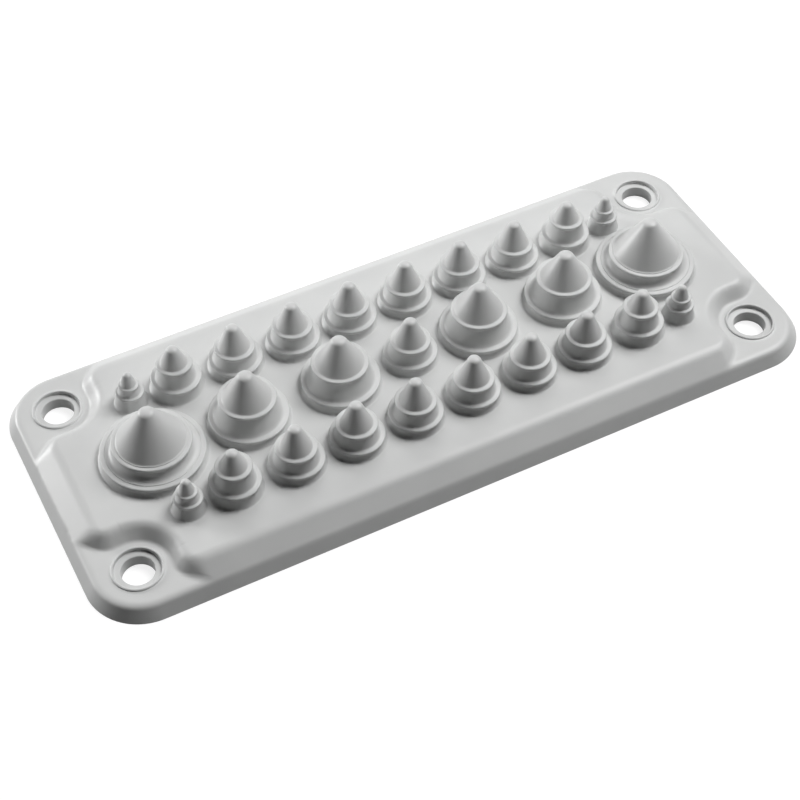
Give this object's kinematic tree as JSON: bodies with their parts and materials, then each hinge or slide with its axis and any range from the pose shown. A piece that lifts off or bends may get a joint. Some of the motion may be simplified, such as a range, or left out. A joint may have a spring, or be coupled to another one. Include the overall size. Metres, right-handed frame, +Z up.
{
  "type": "cable entry plate",
  "caption": "Flat rectangular cable entry plate with rounded corners, screw holes in corner pockets and rows of stepped, pointed membrane nozzles for cables.",
  "frame": {"origin": "centre of the plate's underside, where it lies on the enclosure", "axes": "+Z up through the nozzles, +X along the plate's length, +Y across it"},
  "size_m": [0.237, 0.098, 0.0285],
  "materials": {
    "entry_plate": "light grey, satin to matt"
  },
  "bodies": {
    "root": {"entry_plate": "entry_plate"}
  },
  "joints": []
}
